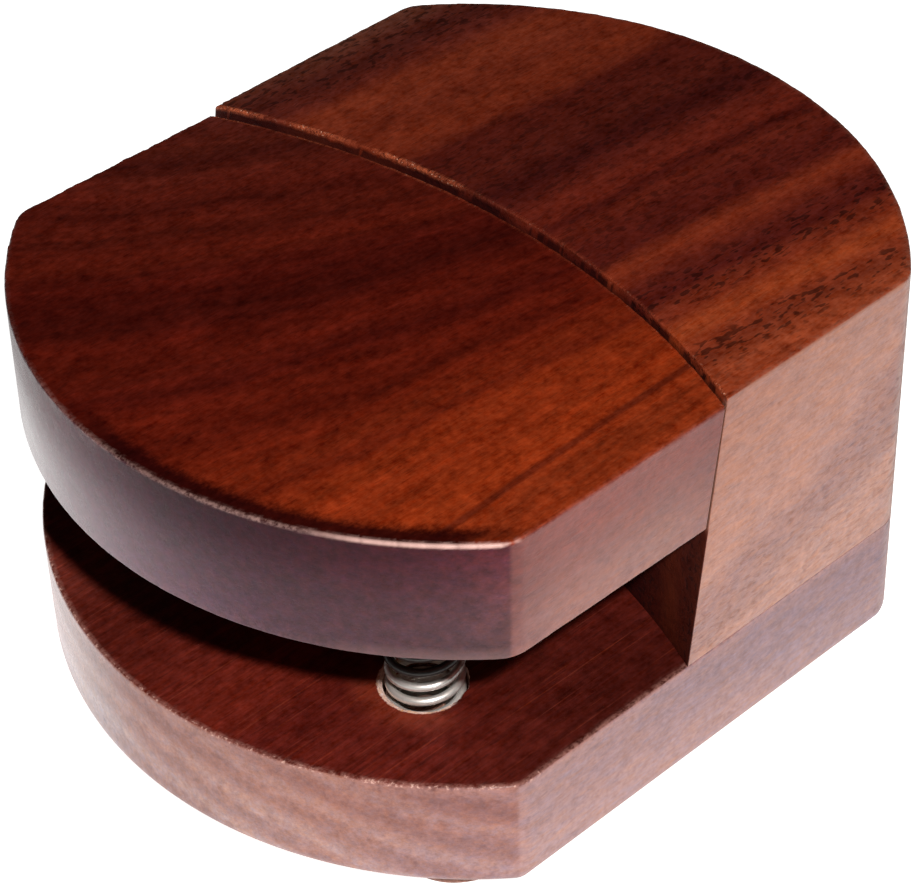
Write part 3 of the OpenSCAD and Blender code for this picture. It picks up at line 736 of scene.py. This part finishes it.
def shade_board(obj, kind):
    p = points(obj)
    if kind == "jaw":
        back = np.array(JAW_REST.inverted())
        # JAW_REST is in mm, and so are these points
        p = p @ back[:3, :3].T + back[:3, 3]
    x, y, z = p.T
    z0, z1 = {"base": (FOOT_H, BASE_TOP), "block": (BASE_TOP, BLOCK_TOP), "jaw": (JAW_Z, JAW_Z + JAW_T)}[kind]
    if kind == "base":
        round_f = np.maximum(disc(x, y, FRONT_C, FRONT_R), disc(x, y, REAR_C, REAR_R))
    elif kind == "block":
        round_f = disc(x, y, REAR_C, REAR_R)
    else:
        round_f = disc(x, y, JAW_C, FRONT_R)
    outer = -np.maximum(round_f, sides(x))
    d_top, d_bot = np.maximum(z1 - z, 0), np.maximum(z - z0, 0)
    o = np.maximum(outer, 0)
    ratio = d_top / (d_top + o + 1e-4)
    side_v = step(ratio, 0.25, 0.75) * (1 - step(o, 0.7, 1.3))
    if kind == "base":
        low = z < 5
        side_v = np.where(low, 1 - step(o, 1.0, 1.95), side_v)
    else:
        ratio_b = d_bot / (d_bot + o + 1e-4)
        side_v = side_v * step(ratio_b, 0.2, 0.6)
    put(obj, "endg", step(round_f - sides(x), 0.0, 0.4))
    e = 1 - (step(d_top + o, 0.18, 0.5) if kind == "jaw" else step(d_top + o, 0.3, 0.8))
    corner = (1 - step(np.abs(round_f - sides(x)), 0.1, 0.7)) * (o < 0.3)
    low_edge = (1 - step(d_bot + o, 0.3, 0.8)) if kind != "base" else 0 * e
    e = np.maximum(np.maximum(e, {"base": 0.3, "block": 0.4, "jaw": 0.0}[kind] * corner), 0.1 * low_edge)
    torn = np.zeros_like(x)
    sawn = np.zeros_like(x)
    if kind != "base":
        c = cut(x, y, z) if kind == "block" else -(cut(x, y, z, SHIFT) + GAP)
        c = np.maximum(c, 0)
        sawn = (c < 0.06) * (d_top > 0.6)
        left = 1 - step(x, -12, 0)
        patch = sum(step(x, a, a + 3) * (1 - step(x, b - 3, b)) for a, b in ((-42, -33), (-32, -22), (-21, -6)))
        patch = patch * (0.75 + 0.25 * hash_noise(x * 1.1 + 60, 8))
        if kind == "block":
            torn = (1 - step(d_top + c, 0.16 + 0.1 * left, 0.3 + 0.22 * left)) * (0.12 + 0.88 * left * patch + 0.5 * step(x, 36, 38.5))
            near = 1 - step(c, 0.5, 1.0)
            e = e * (1 - near * (1 - step(x, 36.5, 38)))
            # painted light in the joint: on the right, behind the jaw, the cut face within about a millimetre of the
            # sides is kept from the dark sawn colour and takes the paler side colour; the arrises where the cut meets
            # the sides are marked as pale edges, a painted highlight
            lip = (1 - step(o, 0.7, 1.1)) * (x > 0) * (z > 34.5)
            sawn = sawn * (1 - lip)
            joint_highlight = np.maximum((1 - step(c + o, 0.12, 0.3)) * 0.9, lip * (c < 0.1))
            e = np.maximum(e, joint_highlight)
        else:
            torn = (1 - step(d_top + c, 0.2, 0.4)) * (0.15 + 0.35 * left * patch)
        side_v = side_v * (1 - sawn)
        e = e * (1 - torn)
    put(obj, "side", side_v)
    put(obj, "edge", e)
    put(obj, "torn", torn)
    put(obj, "sawn", sawn.astype(float))


def rim(seed):
    """Ragged mouth of a drilled pocket."""

    def wobble(k, ang, rad, z):
        if k in (2, 3):
            s = (ang % (2 * math.pi)) * 5.0
            front = 0.5 - 0.5 * np.sin(ang)
            rag = 0.06 + 0.36 * front * front + 0.1 * hash_noise(s * 1.3, seed) + 0.08 * hash_noise(s * 4.1, seed + 2)
            rad = rad + np.clip(rag, 0.03, 0.6) * (1.0 if k == 2 else 1.25)
        return rad, z

    return wobble


def pocket(name, x, y, floor, face, up, seed, matrix=None):
    """Cutter for a spring pocket that opens at height face. up is +1 if it opens upwards."""
    r = 4.76
    prof = [(0, 0), (r, 0), (r, abs(face - floor) - 0.42), (r, abs(face - floor) + 0.0), (r, abs(face - floor) + 0.35), (0, abs(face - floor) + 0.35)]
    m = Matrix.Translation(Vector((x, y, floor)))
    if up < 0:
        m = m @ Matrix.Rotation(math.pi, 4, "X")
    if matrix is not None:
        m = matrix @ m
    return turned(name, prof, 144, m, rim(seed))


def hole(name, prof, m, segs=64):
    return turned(name, prof, segs, m)


def at(x, y, z):
    return Matrix.Translation(Vector((x, y, z)))


def dress(objs, material):
    for o in objs:
        o.data.materials.append(material)
    return objs


# base board
base = board("base_board", base_field, (0.0, 0.0), FOOT_H, BASE_TOP,
             lambda x, y: np.full_like(x, 2.0),
             lambda x, y: np.where(y < 4, ease(x, y, 0.34, 11), 0.07 + 0 * x))
base.data.materials.append(MAT["base"])
cutters = [pocket(f"c{s}", s * SPRING_X, SPRING_Y, BASE_TOP - 5, BASE_TOP, 1, 40 + s) for s in (-1, 1)]
cutters += [hole("c", [(0, FOOT_H - 1), (4.1, FOOT_H - 1), (4.1, FOOT_H + 0.4), (2.1, FOOT_H + 2.4), (2.1, BASE_TOP + 1), (0, BASE_TOP + 1)], at(px, py, 0)) for px, py in ((-17, 17), (17, 17), (0, 36))]
carve(base, dress(cutters, MAT["raw_base"]))
soften(base)
shade_board(base, "base")
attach(base, "base")
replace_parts(base, "base_disc")


# rear block
def block_top_ease(x, y):
    near_cut = cut(x, y, BLOCK_TOP) < 0.8
    left = 1 - step(x, -14, 2)
    groove = ease(x, y * 0 - 30, 0.16 + 0.18 * left, 71, 0.8)
    return np.where(near_cut, np.clip(groove, 0.1, 0.9), ease(x, y, 0.36, 23))


block = board("rear_block_wood", block_field, (0.0, 27.0), BASE_TOP, BLOCK_TOP,
              lambda x, y: np.full_like(x, 0.06), block_top_ease,
              corners=cut_corners((0.0, 27.0), 0.0, 0.0), fixed=(0.15, math.pi - 0.15))
block.data.materials.append(MAT["block"])
cutters = [box_cutter("c", (-12.7, -6, -14.2), (12.7, 2, 2.6), LEANED)]
lean_y = LEANED @ Matrix.Rotation(-math.pi / 2, 4, "X")
for s in (-1, 1):
    cutters.append(hole("c", [(0, 0), (1.05, 0), (1.05, 11), (0, 11)], LEANED @ at(s * 8, 0, -8.5) @ Matrix.Rotation(-math.pi / 2, 4, "X"), 48))
for px, py in ((-17, 17), (17, 17), (0, 36)):
    cutters.append(hole("c", [(0, BASE_TOP - 1), (2.05, BASE_TOP - 1), (2.05, FOOT_H + 39.2), (0, FOOT_H + 39.2)], at(px, py, 0)))
carve(block, dress(cutters, MAT["raw_block"]))
soften(block)
shade_board(block, "block")
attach(block, "base")
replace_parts(block, "rear_block")


# front jaw
def jaw_top_ease(x, y):
    near_cut = cut(x, y, JAW_Z + JAW_T, SHIFT) + GAP > -0.8
    left = 1 - step(x, -6, 6)
    front = ease(x, y, 0.42 - 0.1 * left, 33, 0.35 + 0.35 * left)
    return np.where(near_cut, ease(x, y * 0 - 30, 0.22, 91, 0.5), np.clip(front, 0.08, 0.8))


jaw = board("front_jaw_wood", jaw_field, (0.0, -20.0), JAW_Z, JAW_Z + JAW_T,
            lambda x, y: ease(x, y, 0.16, 51), jaw_top_ease,
            corners=cut_corners((0.0, -20.0), GAP, SHIFT), fixed=(1.2, math.pi - 1.2, math.pi + 0.2, 2 * math.pi - 0.2))
jaw.data.materials.append(MAT["jaw"])
cutters = [pocket("c", s * SPRING_X, SPRING_Y, JAW_Z + 5, JAW_Z, -1, 60 + s) for s in (-1, 1)]
for s in (-1, 1):
    cutters.append(hole("c", [(0, JAW_Z - 1), (1.05, JAW_Z - 1), (1.05, JAW_Z + 9), (0, JAW_Z + 9)], at(s * 8, AXIS_Y - 8.5, 0), 48))
carve(jaw, dress(cutters, MAT["raw_jaw"]))
tip = np.array(JAW_REST)
q = points(jaw) @ tip[:3, :3].T + tip[:3, 3]
jaw.data.vertices.foreach_set("co", (q * MM).astype(np.float32).ravel())
jaw.data.update()
soften(jaw)
shade_board(jaw, "jaw")
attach(jaw, "jaw")
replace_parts(jaw, "front_jaw")


# ---------------------------------------------------------------- springs
def coil(name, x, phase):
    wire, mean, turns = 1.0, 4.0, 14.0
    z0 = BASE_TOP - 5 + 0.5 + 0.05 + wire / 2
    z1 = AXIS_Z + (AXIS_Y - SPRING_Y) * math.tan(TILT) + 2 + 5 - 0.5 - 0.12 - wire / 2
    seg, ring = 44, 14
    n = int(turns * seg)
    t = np.linspace(0, turns, n + 1)
    closed = 1.03
    pitch = closed + (step(t, 1.2, 1.9) - step(t, turns - 1.9, turns - 1.2)) * 1.14
    z = np.r_[0, np.cumsum((pitch[1:] + pitch[:-1]) / 2 * np.diff(t))]
    open_part = np.r_[0, np.cumsum(((pitch - closed)[1:] + (pitch - closed)[:-1]) / 2 * np.diff(t))]
    z = z + open_part / open_part[-1] * ((z1 - z0) - z[-1])
    a = 2 * math.pi * t + phase
    centre = np.stack([x + mean * np.cos(a), SPRING_Y + mean * np.sin(a), z0 + z], 1)
    tangent = np.gradient(centre, axis=0)
    tangent /= np.linalg.norm(tangent, axis=1)[:, None]
    out = np.stack([np.cos(a), np.sin(a), 0 * a], 1)
    up = np.cross(tangent, out)
    up *= np.sign(up[:, 2])[:, None]
    b = np.linspace(0, 2 * math.pi, ring, endpoint=False)
    # the wire's ends are ground to a short taper
    thick = np.minimum(1, 0.55 + 0.45 * np.minimum(step(t, 0, 0.25), 1 - step(t, turns - 0.25, turns)) / 1.0)
    r = wire / 2 * thick
    v = centre[:, None, :] + r[:, None, None] * (np.cos(b)[None, :, None] * out[:, None, :] + np.sin(b)[None, :, None] * up[:, None, :])
    v[..., 2] = np.clip(v[..., 2], z0 - wire / 2, z0 + (z1 - z0) + wire / 2)
    verts = v.reshape(-1, 3)
    faces = []
    i = np.arange(n)[:, None] * ring
    k = np.arange(ring)[None, :]
    k2 = (k + 1) % ring
    faces = np.stack([i + k, i + k2, i + ring + k2, i + ring + k], -1).reshape(-1, 4)[:, ::-1].tolist()
    faces.append([m for m in range(ring)])
    faces.append([n * ring + m for m in reversed(range(ring))])
    obj = make(name, verts, faces)
    soften(obj, 50)
    obj.data.materials.append(MAT["spring"])
    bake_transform(obj)
    return obj


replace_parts(coil("left_spring_coil", -SPRING_X, 0.0), "left_spring")
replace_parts(coil("right_spring_coil", SPRING_X, 0.0), "right_spring")


# ---------------------------------------------------------------- feet
def foot(name, node, x, y, seed):
    prof = [(0, 0.12), (4.3, 0.12), (4.6, 0.03), (4.9, 0.0), (6.8, 0.0), (7.1, 0.04), (7.32, 0.14), (7.45, 0.3), (7.5, 0.55), (7.46, 0.85), (7.36, 1.0), (0, 1.0)]

    def wobble(k, ang, rad, z):
        return rad - 0.02 + 0.02 * hash_noise(ang * 3.0 + seed, seed), z

    o = turned(name, prof, 128, at(x, y, 0), wobble)
    soften(o, 40)
    o.data.materials.append(MAT["rubber"])
    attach(o, "base")
    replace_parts(o, node)


for n, (sx, sy, nm) in enumerate(((-1, -1, "front_left"), (1, -1, "front_right"), (-1, 1, "rear_left"), (1, 1, "rear_right"))):
    foot(f"{nm}_pad", f"{nm}_foot", sx * 28.7, sy * 29.2, 100 + n)

# ---------------------------------------------------------------- hardware carried over from the CAD
HARDWARE = {
    "block_hinge_leaf": "brass", "jaw_hinge_leaf": "brass", "hinge_pin": "steel",
    "block_leaf_screws": "brass_screw", "jaw_leaf_screws": "brass_screw",
    "left_block_screw": "steel", "right_block_screw": "steel", "rear_block_screw": "steel",
    "left_base_spring_seat": "seat", "right_base_spring_seat": "seat",
    "left_jaw_spring_seat": "seat", "right_jaw_spring_seat": "seat",
}
for node, key in HARDWARE.items():
    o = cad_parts[node]
    o.data.materials.clear()
    o.data.materials.append(MAT[key])

# ---------------------------------------------------------------- stage, light and camera
floor_graph = Graph("floor_white")
mix_floor = floor_graph.new("ShaderNodeAddShader")
shine = floor_graph.new("ShaderNodeEmission")
shine.inputs[0].default_value = (1.0, 0.995, 0.99, 1)
shine.inputs[1].default_value = 1.05
matte = floor_graph.new("ShaderNodeBsdfDiffuse")
matte.inputs[0].default_value = (0.6, 0.6, 0.6, 1)
floor_graph.t.links.new(shine.outputs[0], mix_floor.inputs[0])
floor_graph.t.links.new(matte.outputs[0], mix_floor.inputs[1])
floor_graph.t.links.new(mix_floor.outputs[0], floor_graph.out.inputs["Surface"])
floor = make("floor", [[-4000, -4000, 0], [4000, -4000, 0], [4000, 4000, 0], [-4000, 4000, 0]], [[0, 1, 2, 3]])
floor.location.z = -0.00002
floor.data.materials.append(floor_graph.mat)


def area(name, where, aim, size, power, colour=(1, 1, 1)):
    data = bpy.data.lights.new(name, "AREA")
    data.shape = "RECTANGLE"
    data.size, data.size_y = size
    data.energy = power
    data.color = colour
    o = bpy.data.objects.new(name, data)
    scene.collection.objects.link(o)
    o.location = where
    o.rotation_mode = "QUATERNION"
    o.rotation_quaternion = (Vector(where) - Vector(aim)).to_track_quat("Z", "Y")
    o.visible_camera = False
    return o


# a small flash a little above and to the right of the lens
area("flash", (0.265, -0.171, 0.348), (0.0, -0.01, 0.03), (0.028, 0.018), 2.2, (1.0, 0.985, 0.965))

world = bpy.data.worlds.new("studio")
scene.world = world
world.use_nodes = True
wt = world.node_tree
wt.nodes.clear()
wout = wt.nodes.new("ShaderNodeOutputWorld")
wbg = wt.nodes.new("ShaderNodeBackground")
wbg.inputs[0].default_value = (0.9, 0.95, 1.0, 1)
wbg.inputs[1].default_value = 0.012
wt.links.new(wbg.outputs[0], wout.inputs[0])

cam_data = bpy.data.cameras.new("camera")
cam = bpy.data.objects.new("camera", cam_data)
scene.collection.objects.link(cam)
cam_data.sensor_fit = "HORIZONTAL"
cam_data.sensor_width = 36.0
cam_data.lens = 122.548
cam_data.clip_start, cam_data.clip_end = 0.01, 50
turn = Matrix(((0.68988, -0.44924, 0.56767), (0.723442, 0.456437, -0.517974), (-0.026411, 0.768016, 0.639886)))
cam.matrix_world = Matrix.Translation((0.205036, -0.188036, 0.253811)) @ turn.to_4x4()
scene.camera = cam
scene.view_settings.view_transform = "Standard"
scene.view_settings.look = "None"
